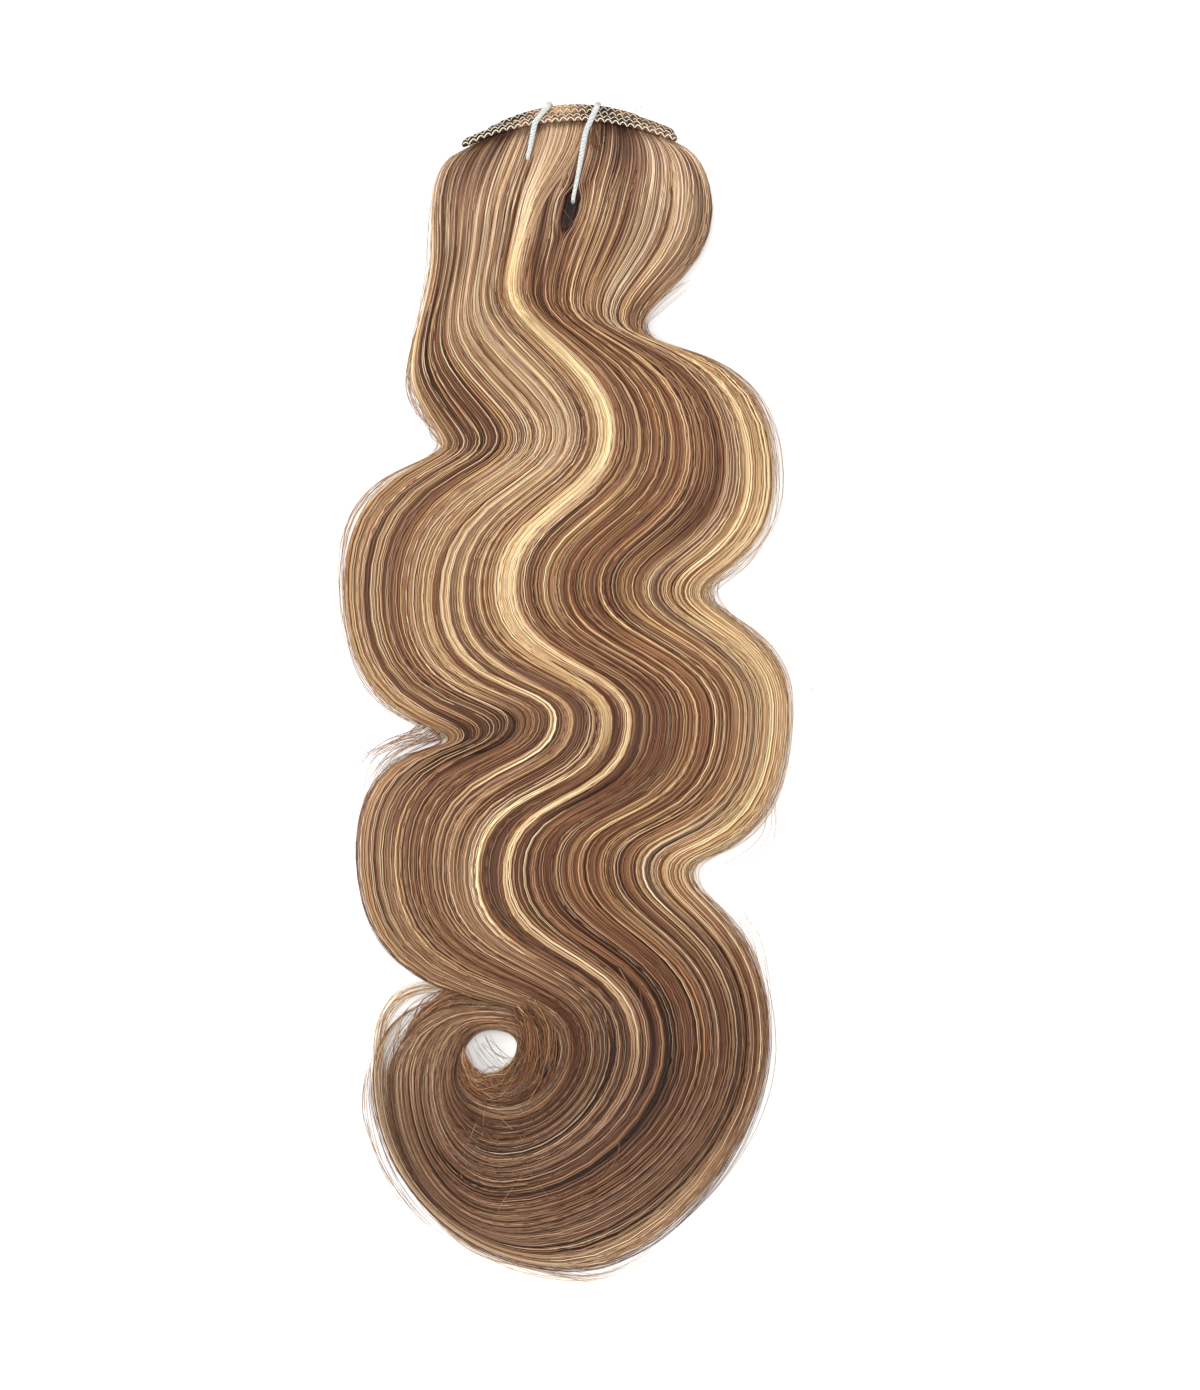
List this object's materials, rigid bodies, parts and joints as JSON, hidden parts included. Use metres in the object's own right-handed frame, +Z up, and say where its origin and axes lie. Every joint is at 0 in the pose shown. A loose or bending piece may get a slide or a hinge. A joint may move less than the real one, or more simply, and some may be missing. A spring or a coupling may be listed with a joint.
{
  "type": "clip-in hair extension",
  "caption": "Set of clip-in hair wefts in one waved, highlighted bundle, tied under the stitched bands and lying flat with its ends in a curl.",
  "frame": {"origin": "centre of the overall box, on the surface that the bundle lies on", "axes": "+Z up, away from the surface; +Y along the bundle towards the stitched bands; +X to the right seen from above"},
  "size_m": [0.158, 0.4194, 0.0196],
  "materials": {
    "hair": "silky light brown hair with blond streaks",
    "band": "hair sewn flat with cream thread",
    "clip": "smooth brown enamel on spring steel",
    "tie": "pale translucent strap"
  },
  "bodies": {
    "root": {"back_weft_hair": "hair", "third_weft_hair": "hair", "second_weft_hair": "hair", "front_weft_hair": "hair", "back_weft_band": "band", "third_weft_band": "band", "second_weft_band": "band", "front_weft_band": "band", "back_left_clip": "clip", "back_right_clip": "clip", "third_left_clip": "clip", "third_right_clip": "clip", "second_left_clip": "clip", "second_right_clip": "clip", "front_left_clip": "clip", "front_right_clip": "clip", "left_tie": "tie", "right_tie": "tie"}
  },
  "joints": []
}
